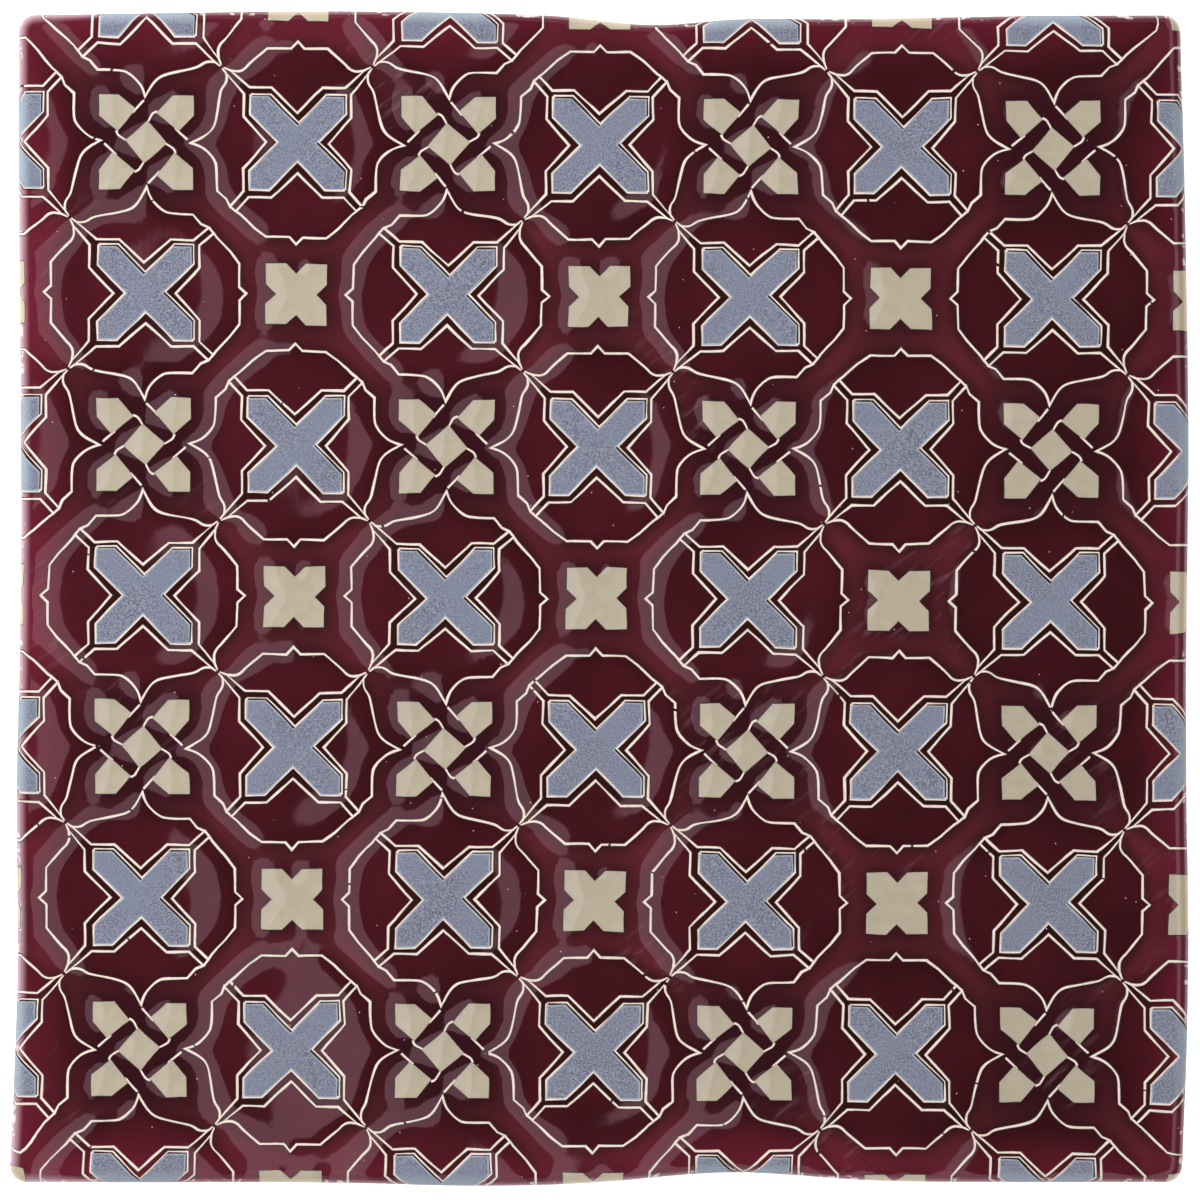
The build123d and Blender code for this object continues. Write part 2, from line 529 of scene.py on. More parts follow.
@dataclass
class Hand:
    """The unsteady hand that traced the pattern: one slow sway, and a tremble of each layer's own.

    Each pull is a place near the edge, how far the pattern was dragged there in X and Y, and how
    far along X and Y the drag reaches.
    """

    sway: float = 0.08
    sway_mm: float = 13.0
    tremble: float = 0.034
    tremble_mm: float = 4.5
    waves: int = 6
    wave_spread: tuple = (0.6, 1.7)
    break_count: int = 75
    break_mm: tuple = (0.18, 0.42)
    break_reach: float = 0.75
    break_skew: float = 0.12
    shortest_broken: int = 12
    pulls: tuple = ((-58.0, 76.0, 0.0, 0.8, 16.0, 3.5), (0.0, 76.0, 0.0, -0.9, 20.0, 3.5),
                    (58.0, 76.0, -0.2, -0.85, 18.0, 3.5), (76.0, 76.0, -1.2, -0.55, 5.0, 5.0),
                    (77.0, -4.0, -0.5, 0.0, 3.5, 20.0), (-77.0, -76.0, 1.35, 0.9, 5.0, 5.0),
                    (76.0, -76.0, -0.7, 0.5, 5.0, 5.0),
                    (-70.8, 75.0, -1.3, 0.0, 3.0, 3.0), (-74.5, 70.8, 0.0, 1.2, 3.0, 3.0),
                    (70.1, 74.7, 1.6, 0.0, 3.0, 3.0), (74.3, 69.8, 0.0, 1.1, 3.0, 3.0),
                    (-74.5, -70.0, 0.0, -1.5, 3.0, 3.0), (-70.5, -74.5, -1.0, 0.0, 3.0, 3.0),
                    (74.5, -70.3, 0.0, -0.8, 3.0, 3.0), (70.5, -74.5, 0.9, 0.0, 3.0, 3.0))

    def drift(self, points: np.ndarray, seed: int, length: float, size: float) -> np.ndarray:
        """Smooth random shifts of plan points.

        Args:
            points: the plan points.
            seed: picks one drift out of many.
            length: the drift's typical wavelength.
            size: its typical height.

        Returns:
            A shift in X and Y for each point.
        """
        draw = np.random.default_rng(seed)
        out = np.zeros_like(points)
        for axis in (0, 1):
            angle = draw.uniform(0, 2 * math.pi, self.waves)
            pace = 2 * math.pi / (length * draw.uniform(*self.wave_spread, self.waves))
            phase = points @ np.stack([pace * np.cos(angle), pace * np.sin(angle)])
            phase += draw.uniform(0, 2 * math.pi, self.waves)
            out[:, axis] = size * np.sin(phase).sum(axis=1) / math.sqrt(self.waves)
        return out

    def traced(self, points: np.ndarray, layer: int) -> np.ndarray:
        """Finds where the hand puts the points of a loop.

        Args:
            points: the loop's points as they were meant.
            layer: the loop's layer, which has a tremble of its own.

        Returns:
            The points as they were traced.
        """
        swayed = points + self.drift(points, SWAY_SEED, self.sway_mm, self.sway)
        for x, y, right, up, wide, tall in self.pulls:
            share = np.exp(-(((points[:, 0] - x) / wide) ** 2) - ((points[:, 1] - y) / tall) ** 2)
            swayed += share[:, None] * np.array([right, up])
        return swayed + self.drift(points, TREMBLE_SEED + layer, self.tremble_mm, self.tremble)

    def breaks(self, lines: list[np.ndarray], width: float) -> list[np.ndarray]:
        """Short gaps where the trailed line did not flow.

        Args:
            lines: the outer edges of the trailed lines.
            width: the line's width.

        Returns:
            The outlines of the gaps.
        """
        draw = np.random.default_rng(BREAK_SEED)
        gaps = []
        for number in draw.choice(len(lines), self.break_count, replace=False):
            line = grown(lines[number], -width / 2)
            k = int(draw.integers(len(line)))
            ahead = line[(k + 1) % len(line)] - line[k]
            ahead /= np.linalg.norm(ahead)
            side = np.array([-ahead[1], ahead[0]])
            long, wide = draw.uniform(*self.break_mm) / 2, self.break_reach * width
            skew = draw.uniform(-self.break_skew, self.break_skew) * ahead
            corners = (-long * ahead - wide * side - skew, long * ahead - wide * side - skew,
                       long * ahead + wide * side + skew, -long * ahead + wide * side + skew)
            gaps.append(line[k] + np.array(corners))
        return gaps

    def meant(self, points: np.ndarray) -> np.ndarray:
        """About where points of the face lie in the pattern as it was meant."""
        return points - self.drift(points, SWAY_SEED, self.sway_mm, self.sway)


@dataclass
class Relief:
    """Height of the face: crowned straps over dished fields, on a slightly uneven body.

    The body bows up towards its left and right sides, and the relief runs shallower to the right.
    Each warp is the place of a swell, its rise and its reach.
    """

    pattern: Strapwork
    hand: Hand
    height: float = 0.5
    softness: float = 1.05
    shoulder: float = 0.2
    dome_height: float = 0.25
    dome_radius: float = 9.0
    dome_softness: float = 1.5
    blur_reach: float = 3.0
    grid: float = 0.1
    mean_level: float = 0.3
    shallow_share: float = 0.72
    shallow_from: float = 0.0
    shallow_to: float = 42.0
    half_side: float = 75.0
    bow: float = 1.1
    bow_level: float = 0.5
    warps: tuple = ((-52.0, -64.0, 1.0, 18.0),)
    waves: int = 11
    wave_mm: tuple = (14.0, 46.0)
    wave_height: float = 0.1

    def __post_init__(self) -> None:
        """Works out the height of one cell of the pattern and the uneven body's waves."""
        half = self.pattern.repeat / 2
        count = int(round(2 * half / self.grid)) + 1
        axis = np.linspace(-half, half, count)
        u, v = np.meshgrid(axis, axis, indexing="xy")
        points = np.stack([u.ravel(), v.ravel()], axis=1)
        low = np.zeros(len(points), bool)
        for loop in self.low_loops():
            low |= inside(points, loop)
        domed = np.zeros(len(points), bool)
        for middle in ((half, 0), (-half, 0), (0, half), (0, -half)):
            domed |= np.linalg.norm(points - np.array(middle), axis=1) < self.dome_radius
        self.axis_step = axis[1] - axis[0]
        self.crown = self.softened((~low).reshape(count, count), self.softness)
        domes = self.softened(domed.reshape(count, count), self.dome_softness)
        self.level = self.height * self.crown + self.dome_height * domes
        self.slope_v, self.slope_u = np.gradient(self.level, self.axis_step)
        draw = np.random.default_rng(WAVE_SEED)
        angle = draw.uniform(0, 2 * math.pi, self.waves)
        length = draw.uniform(*self.wave_mm, self.waves)
        ways = np.stack([np.cos(angle), np.sin(angle)], axis=1)
        self.wave_vectors = 2 * math.pi / length[:, None] * ways
        self.wave_phase = draw.uniform(0, 2 * math.pi, self.waves)

    def softened(self, mask: np.ndarray, reach: float) -> np.ndarray:
        """Blurs a mask of one cell, which its neighbours mirror, as glaze softens a moulded step.

        Args:
            mask: the cell's raised points.
            reach: how far the blur reaches.

        Returns:
            The blurred mask, from 0 to 1.
        """
        taps = int(self.blur_reach * reach / self.grid)
        weights = np.exp(-0.5 * (np.arange(-taps, taps + 1) * self.grid / reach) ** 2)
        weights /= weights.sum()
        out, count = mask.astype(float), len(mask)
        for number in (0, 1):
            pad = [(taps, taps) if k == number else (0, 0) for k in (0, 1)]
            wide = np.pad(out, pad, mode="reflect")
            out = sum(w * np.take(wide, range(k, k + count), axis=number) for k, w in enumerate(weights))
        return out

    def low_loops(self) -> list[np.ndarray]:
        """The loops of one cell that lie lower than the straps.

        Returns:
            The loops, about the middle of the cell.
        """
        pattern, half = self.pattern, self.pattern.repeat / 2
        top = grown(pattern.knot_field(), self.shoulder)
        left = -top[:, ::-1]
        out = [top, left, -top, -left, np.array(pattern.diamond)]
        out += [turned(np.array(pattern.pentagon), -90 * k) for k in range(4)]
        for sx in (-1, 1):
            for sy in (-1, 1):
                middle = np.array([sx * half, sy * half])
                out.append(pattern.square() + middle)
                field = grown(pattern.ring_field(sx == sy), self.shoulder)
                out += [turned(field, 90 * k) + middle for k in range(4)]
        for x, y in ((half, 0), (-half, 0), (0, half), (0, -half)):
            out.append(grown(pattern.cross(), pattern.cross_moat) + np.array([x, y]))
            for sx in (-1, 1):
                for sy in (-1, 1):
                    channel = pattern.channel(sx, sy, pattern.mouth_reach, pattern.mouth_wide)
                    out.append(channel + np.array([x, y]))
        return out

    def sample(self, points: np.ndarray) -> tuple[np.ndarray, np.ndarray, np.ndarray]:
        """Reads the face's height and slope.

        Args:
            points: points on the tile.

        Returns:
            The strapwork's crown from 0 to 1, the height in millimetres below or above the
            strap tops, and the slope along X and Y.
        """
        local, flip = self.pattern.folded(self.hand.meant(points))
        place = (local + self.pattern.repeat / 2) / self.axis_step
        count = self.crown.shape[0]
        corner = np.clip(np.floor(place).astype(int), 0, count - 2)
        part = place - corner
        i, j = corner[:, 0], corner[:, 1]
        mix = [((1 - part[:, 0]) * (1 - part[:, 1]), j, i), (part[:, 0] * (1 - part[:, 1]), j, i + 1),
               ((1 - part[:, 0]) * part[:, 1], j + 1, i), (part[:, 0] * part[:, 1], j + 1, i + 1)]
        crown = sum(w * self.crown[a, b] for w, a, b in mix)
        slope_u = sum(w * self.slope_u[a, b] for w, a, b in mix) * flip
        slope_v = sum(w * self.slope_v[a, b] for w, a, b in mix)
        step = np.clip((points[:, 0] - self.shallow_from) / (self.shallow_to - self.shallow_from), 0, 1)
        share = 1.0 - self.shallow_share * step ** 2 * (3 - 2 * step)
        slope = turned(np.stack([slope_u, slope_v], axis=1), self.pattern.turn) * share[:, None]
        height = sum(w * self.level[a, b] for w, a, b in mix) - self.mean_level
        height = height * share + self.mean_level - self.height
        phase = points @ self.wave_vectors.T + self.wave_phase
        height += self.wave_height * np.sum(np.cos(phase), axis=1) / math.sqrt(self.waves)
        slope -= self.wave_height / math.sqrt(self.waves) * (np.sin(phase) @ self.wave_vectors)
        for x, y, rise, reach in self.warps:
            away = points - np.array([x, y])
            swell = rise * np.exp(-np.sum(away ** 2, axis=1) / reach ** 2)
            height += swell
            slope -= 2 * away / reach ** 2 * swell[:, None]
        height += self.bow * ((points[:, 0] / self.half_side) ** 2 - self.bow_level)
        slope[:, 0] += 2 * self.bow / self.half_side ** 2 * points[:, 0]
        return crown, height, slope


@dataclass
class TileBody:
    """The fired tile: its glazed face, rounded edge, sides and keyed back, as one closed mesh.

    Distances to the outline are worked out within edge_reach of the sides; far_in stands for any
    greater one, and on_side is what the sides and the back carry.
    """

    outline: Outline
    pattern: Strapwork
    relief: Relief
    thickness: float = 9.0
    edge_radius: float = 1.6
    edge_step: float = 0.8
    edge_insets: tuple = (0.03, 0.12, 0.3, 0.55, 0.85, 1.2, 1.6)
    edge_reach: float = 18.0
    far_in: float = 20.0
    on_side: float = 4.0
    wrap_reach: float = 4.0
    beside: float = 3.0
    batch: int = 2000
    net: float = 1.1
    net_margin: float = 2.0
    net_gap: float = 0.3
    clearance: float = 0.5
    glaze_line: float = 4.6
    glaze_drop: float = 0.35
    drips: tuple = ((9, 1.0, 0.0), (23, 0.6, 1.3), (61, 0.4, 0.4))
    glaze_lip: float = 0.3
    bare_inset: float = 0.15
    arris: float = 0.4
    key_side: float = 19.0
    key_rib: float = 4.0
    key_count: int = 6
    key_depth: float = 0.8
    weld: float = 0.002
    back_weld: float = 1e-5
    knot_reach: float = 10.5
    knot_fade: float = 5.0
    square_reach: float = 7.2
    square_fade: float = 2.0
    square_share: float = 0.35

    def net_points(self, edge: np.ndarray, drawn: np.ndarray) -> np.ndarray:
        """A triangular net of points over the face, and denser rows along its rounded edge.

        Args:
            edge: the outline.
            drawn: the points of the pattern's loops, which the net keeps clear of.

        Returns:
            The net's points.
        """
        half = self.outline.side / 2 + self.net_margin
        rows = np.arange(-half, half, self.net * math.sqrt(0.75))
        points = []
        for k, y in enumerate(rows):
            xs = np.arange(-half + (k % 2) * self.net / 2, half, self.net)
            points.append(np.stack([xs, np.full(len(xs), y)], axis=1))
        net = np.concatenate(points)
        net = net[inside(net, grown(edge, -self.edge_radius - self.net_gap))]
        near = KDTree(len(drawn))
        for number, (x, y) in enumerate(drawn):
            near.insert((x, y, 0.0), number)
        near.balance()
        net = net[[near.find((x, y, 0.0))[2] > self.clearance for x, y in net]]
        rows = [divided(grown(edge, -inset), self.edge_step) for inset in self.edge_insets]
        return np.concatenate([net, *rows])

    def triangles(self, edge: np.ndarray) -> tuple[np.ndarray, np.ndarray, np.ndarray]:
        """Triangulates the pattern's loops, the outline and the net of points in plan.

        Args:
            edge: the outline.

        Returns:
            The plan points, the triangles and each triangle's coat.
        """
        hand = self.relief.hand
        loops = []
        for layer, coat, loop in self.pattern.loops():
            if self.on_tile(loop):
                traced = hand.traced(divided(loop, self.pattern.step), layer)
                loops.append((layer, coat, self.wrapped(traced, edge)))
        lines = [loop for layer, _, loop in loops
                 if layer == Layer.FIELD_LINE and len(loop) > hand.shortest_broken]
        loops += [(Layer.BREAK, Coat.KEYLINE, gap) for gap in hand.breaks(lines, self.pattern.line)]
        verts, sides = [], []
        for shape in (edge, *(loop for _, _, loop in loops)):
            first, count = len(verts), len(shape)
            sides += [(first + k, first + (k + 1) % count) for k in range(count)]
            verts += [Vector(p) for p in shape]
        verts += [Vector(p) for p in self.net_points(edge, np.array(verts))]
        plan, _, tris, *_ = delaunay_2d_cdt(verts, sides, [], 0, self.weld, False)
        plan, tris = np.array([tuple(p) for p in plan]), np.array([tuple(tri) for tri in tris])
        middles = plan[tris].mean(axis=1)
        held = inside(middles, edge)
        return plan, tris[held], self.painted(middles[held], loops)

    def wrapped(self, loop: np.ndarray, edge: np.ndarray) -> np.ndarray:
        """Lays a flat loop over the rounded edge, where it looks foreshortened from above.

        Args:
            loop: the flat loop.
            edge: the outline.

        Returns:
            The loop in plan, as it lies on the tile.
        """
        if np.abs(loop).max() < self.outline.side / 2 - self.wrap_reach:
            return loop
        distance, outward = self.edge_distance(loop, edge)
        distance = np.where(inside(loop, edge), distance, -distance)
        along = np.maximum(self.edge_radius - distance, 0.0)
        quarter = self.edge_radius * math.pi / 2
        across = self.edge_radius * np.sin(np.minimum(along, quarter) / self.edge_radius)
        across += np.maximum(along - quarter, 0.0)
        return loop + (across - along)[:, None] * outward

    def on_tile(self, loop: np.ndarray) -> bool:
        """Whether any point of a loop lies on the tile or just beside it."""
        return bool((np.abs(loop).max(axis=1) < self.outline.side / 2 + self.beside).any())

    def painted(self, middles: np.ndarray, loops: list[Loop]) -> np.ndarray:
        """Finds the coat of each triangle.

        Args:
            middles: the triangles' middles.
            loops: the pattern's loops, from the lowest layer to the highest.

        Returns:
            The coat of the uppermost loop that holds each middle.
        """
        order = np.argsort(middles[:, 0])
        across = middles[order, 0]
        coats = np.full(len(middles), int(Coat.STRAP))
        for _, coat, loop in loops:
            first, last = np.searchsorted(across, (loop[:, 0].min(), loop[:, 0].max()))
            part = order[first:last]
            coats[part[inside(middles[part], loop)]] = int(coat)
        return coats

    def edge_distance(self, points: np.ndarray, edge: np.ndarray) -> tuple[np.ndarray, np.ndarray]:
        """How far points lie from the outline, and the way to the outline from each.

        Args:
            points: plan points.
            edge: the outline.

        Returns:
            The distances, or far_in where a point is far from the outline, and unit vectors outwards.
        """
        distance = np.full(len(points), self.far_in)
        outward = np.zeros((len(points), 2))
        near = np.flatnonzero(np.abs(points).max(axis=1) > self.outline.side / 2 - self.edge_reach)
        a, b = edge, np.roll(edge, -1, axis=0)
        run = b - a
        side = np.stack([run[:, 1], -run[:, 0]], axis=1)
        side /= np.linalg.norm(side, axis=1, keepdims=True)
        bend = side + np.roll(side, 1, axis=0)
        bend /= np.linalg.norm(bend, axis=1, keepdims=True)
        for part in np.array_split(near, max(1, len(near) // self.batch)):
            rel = points[part, None, :] - a[None]
            t = np.clip(np.sum(rel * run, axis=2) / np.sum(run * run, axis=1), 0, 1)
            gap = rel - t[..., None] * run
            size = np.linalg.norm(gap, axis=2)
            best = size.argmin(axis=1)
            pick = np.arange(len(part))
            distance[part] = size[pick, best]
            share = t[pick, best][:, None]
            way = (1 - share) * bend[best] + share * bend[(best + 1) % len(edge)]
            outward[part] = way / np.linalg.norm(way, axis=1, keepdims=True)
        return distance, outward

    def build(self) -> bpy.types.Object:
        """Makes the tile's mesh.

        Returns:
            The tile's object, with its coats as material slots still to be filled.
        """
        edge = self.outline.loop()
        plan, tris, coats = self.triangles(edge)
        used, tris = np.unique(tris, return_inverse=True)
        plan, tris = plan[used], tris.reshape(-1, 3)
        area = np.cross(plan[tris[:, 1]] - plan[tris[:, 0]], plan[tris[:, 2]] - plan[tris[:, 0]])
        tris[area < 0] = tris[area < 0][:, ::-1]
        distance, outward = self.edge_distance(plan, edge)
        crown, height, slope = self.relief.sample(plan)
        lean = np.clip(1.0 - distance / self.edge_radius, 0.0, 1.0)
        rise = np.sqrt(1.0 - lean ** 2)
        z = self.thickness + height - self.edge_radius * (1.0 - rise)
        tilt = np.concatenate([-slope, np.ones((len(plan), 1))], axis=1)
        tilt /= np.linalg.norm(tilt, axis=1, keepdims=True)
        normals = rise[:, None] * tilt
        normals[:, :2] += lean[:, None] * outward
        normals /= np.linalg.norm(normals, axis=1, keepdims=True)
        local, _ = self.pattern.folded(plan)
        weave = self.weave(local)

        shell = Shell(np.concatenate([plan, z[:, None]], axis=1), normals)
        shell.add(tris, coats, True)
        self.add_sides(shell, self.rim(tris), plan, outward)
        obj = shell.to_object("glazed_tile")
        pad = len(shell.points) - len(plan)
        readings = (("crown", crown, 0.0), ("edge_mm", distance, self.on_side), ("weave", weave, 0.0))
        for name, values, rest in readings:
            layer = obj.data.attributes.new(name, "FLOAT", "POINT")
            layer.data.foreach_set("value", np.concatenate([values, np.full(pad, rest)]))
        return obj

    def weave(self, local: np.ndarray) -> np.ndarray:
        """How much darker the glaze is drawn: most in the knots, some round the notched squares.

        Args:
            local: points about the knot of their cell.

        Returns:
            A share from 0 to 1 for each point.
        """
        knot = np.abs(local).max(axis=1)
        square = self.pattern.repeat / 2 - np.abs(local).min(axis=1)
        in_knot = np.clip((self.knot_reach - knot) / self.knot_fade, 0.0, 1.0)
        by_square = np.clip((self.square_reach - square) / self.square_fade, 0.0, 1.0)
        return np.maximum(in_knot, self.square_share * by_square)

    def rim(self, tris: np.ndarray) -> np.ndarray:
        """Follows the face's border.

        Args:
            tris: the face's triangles.

        Returns:
            The border's points in order, anticlockwise.
        """
        sides = np.concatenate([tris[:, [0, 1]], tris[:, [1, 2]], tris[:, [2, 0]]])
        pairs = {(int(a), int(b)) for a, b in sides}
        follow = {a: b for a, b in pairs if (b, a) not in pairs}
        start = next(iter(sorted(follow)))
        order, point = [start], follow[start]
        while point != start:
            order.append(point)
            point = follow[point]
        return np.array(order)

    def add_sides(self, shell: Shell, rim: np.ndarray, plan: np.ndarray, outward: np.ndarray) -> None:
        """Adds the glazed and bare bands of the sides and the keyed back.

        Args:
            shell: the mesh in the making.
            rim: the face's border points in order.
            plan: plan points of the face.
            outward: unit vectors out of the sides.
        """
        place = np.arctan2(plan[rim, 1], plan[rim, 0])
        drip = sum(size * np.sin(around * place + lag) for around, size, lag in self.drips)
        line = self.glaze_line + self.glaze_drop * drip
        count = len(rim)
        above, facing = rim, np.concatenate([outward[rim], np.zeros((count, 1))], axis=1)
        rows = ((line, 0.0, Coat.FIELD), (line - self.glaze_lip, self.bare_inset, Coat.BISQUE),
                (np.full(count, self.arris), self.bare_inset, Coat.BISQUE),
                (np.zeros(count), self.bare_inset + self.arris, Coat.BISQUE))
        for heights, inset, coat in rows:
            spots = np.concatenate([plan[rim] - inset * outward[rim], heights[:, None]], axis=1)
            below = shell.extend(spots, facing)
            quads = np.stack([above, below, np.roll(below, -1), np.roll(above, -1)], axis=1)
            shell.add(quads, np.full(count, coat), True)
            above = below
        self.add_back(shell, above)

    def add_back(self, shell: Shell, foot: np.ndarray) -> None:
        """Adds the back: a flat face with a grid of shallow square keys.

        Args:
            shell: the mesh in the making.
            foot: the lowest points of the sides, in order.
        """
        pitch, half = self.key_side + self.key_rib, self.key_side / 2
        places = [(k - (self.key_count - 1) / 2) * pitch for k in range(self.key_count)]
        spots = shell.points[foot][:, :2]
        verts, faces = [Vector(p) for p in spots], [list(range(len(spots)))]
        corners = np.array([(-half, -half), (half, -half), (half, half), (-half, half)])
        keys = [corners + np.array([x, y]) for x in places for y in places]
        for key in keys:
            faces.append(list(range(len(verts), len(verts) + 4)))
            verts += [Vector(p) for p in key]
        down = np.array([0.0, 0.0, -1.0])
        flat = np.concatenate([np.concatenate(keys), np.zeros((4 * len(keys), 1))], axis=1)
        mouths = shell.extend(flat, np.tile(down, (len(flat), 1)))
        floors = shell.extend(flat - self.key_depth * down, np.tile(down, (len(flat), 1)))
        index = np.concatenate([foot, mouths])
        plan, _, tris, origin, _, owners = delaunay_2d_cdt(verts, [], faces, 0, self.back_weld, True)
        at = [index[source[0]] if source else int(shell.extend(np.array([[*spot, 0.0]]), down[None])[0])
              for source, spot in zip(origin, plan)]
        back = [[at[tri[0]], at[tri[2]], at[tri[1]]] for tri, owner in zip(tris, owners) if owner == [0]]
        shell.add(np.array(back), np.full(len(back), Coat.BISQUE), False)
        for k in range(len(keys)):
            top, low = floors[4 * k:4 * k + 4], mouths[4 * k:4 * k + 4]
            walls = np.stack([low, top, np.roll(top, -1), np.roll(low, -1)], axis=1)
            shell.add(walls, np.full(4, Coat.BISQUE), False)
            shell.add(top[None, ::-1], np.full(1, Coat.BISQUE), False)

    def dress(self, obj: bpy.types.Object) -> None:
        """Gives every coat of the tile its finish.

        Args:
            obj: the tile's object.
        """
        finishes = {
            Coat.STRAP: GLAZE_STRAP, Coat.FIELD: GLAZE_FIELD, Coat.MOAT: GLAZE_MOAT,
            Coat.LINE: TRAILED_LINE, Coat.KEYLINE: MANGANESE, Coat.BLUE: BLUE_ENGOBE,
            Coat.CREAM: CREAM_GLAZE, Coat.BISQUE: BISQUE_CLAY, Coat.HALO: PALE_ENGOBE,
        }
        for coat in Coat:
            obj.data.materials.append(finishes[coat].build())


class Shell:
    """A mesh in the making: points with normals, and faces with coats."""

    def __init__(self, points: np.ndarray, normals: np.ndarray) -> None:
        """Starts from the face.

        Args:
            points: the face's points.
            normals: their normals.
        """
        self.points, self.normals = points, normals
        self.faces: list[list[int]] = []
        self.coats: list[int] = []
        self.round: list[bool] = []

    def extend(self, points: np.ndarray, normals: np.ndarray) -> np.ndarray:
        """Adds points.

        Args:
            points: the new points.
            normals: their normals.

        Returns:
            The numbers of the new points.
        """
        start = len(self.points)
        self.points = np.concatenate([self.points, points])
        self.normals = np.concatenate([self.normals, normals])
        return np.arange(start, start + len(points))

    def add(self, faces: np.ndarray, coats: np.ndarray, rounded: bool) -> None:
        """Adds faces.

        Args:
            faces: the point numbers of each face.
            coats: the coat of each face.
            rounded: whether the faces are smooth.
        """
        self.faces += faces.tolist()
        self.coats += [int(coat) for coat in coats]
        self.round += [rounded] * len(faces)

    def to_object(self, name: str) -> bpy.types.Object:
        """Turns the shell into an object, in metres, with its own normals on the smooth faces.

        Args:
            name: the object's name.

        Returns:
            The new object.
        """
        mesh = bpy.data.meshes.new(name)
        mesh.from_pydata((self.points * MM).tolist(), [], self.faces)
        mesh.polygons.foreach_set("material_index", self.coats)
        mesh.polygons.foreach_set("use_smooth", self.round)
        corners = np.zeros(len(mesh.loops), int)
        mesh.loops.foreach_get("vertex_index", corners)
        per_face = np.repeat(self.round, [len(face) for face in self.faces])
        mesh.normals_split_custom_set(np.where(per_face[:, None], self.normals[corners], 0.0).tolist())
        mesh.validate()
        obj = bpy.data.objects.new(name, mesh)
        bpy.context.scene.collection.objects.link(obj)
        return obj


def linear(hex_colour: str) -> tuple[float, float, float, float]:
    """Turns an sRGB hex colour into linear values with full alpha."""
    parts = [int(hex_colour[k:k + 2], 16) / 255 for k in (1, 3, 5)]
    return (*(c / 12.92 if c <= 0.04045 else ((c + 0.055) / 1.055) ** 2.4 for c in parts), 1.0)


def per_mm(size_mm: float) -> float:
    """The texture scale at which one feature is a given size across, on an object in metres."""
    return 1.0 / (size_mm * MM)


def add_node(tree: Tree, kind: str, settings: dict | None = None,
             inputs: dict | None = None) -> bpy.types.Node:
    """Adds a node with its settings and its inputs.

    Args:
        tree: the node tree.
        kind: the node's type name.
        settings: attributes to set on the node.
        inputs: for each input's name or number, a value or the socket that feeds it.

    Returns:
        The new node.
    """
    node = tree.nodes.new(kind)
    for name, value in (settings or {}).items():
        setattr(node, name, value)
    for key, value in (inputs or {}).items():
        if isinstance(value, Socket):
            tree.links.new(value, node.inputs[key])
        else:
            node.inputs[key].default_value = value
    return node


def new_material(name: str) -> tuple[bpy.types.Material, Tree]:
    """Makes an empty node material.

    Args:
        name: the material's name.

    Returns:
        The material and its node tree.
    """
    material = bpy.data.materials.new(name)
    material.use_nodes = True
    material.node_tree.nodes.clear()
    return material, material.node_tree


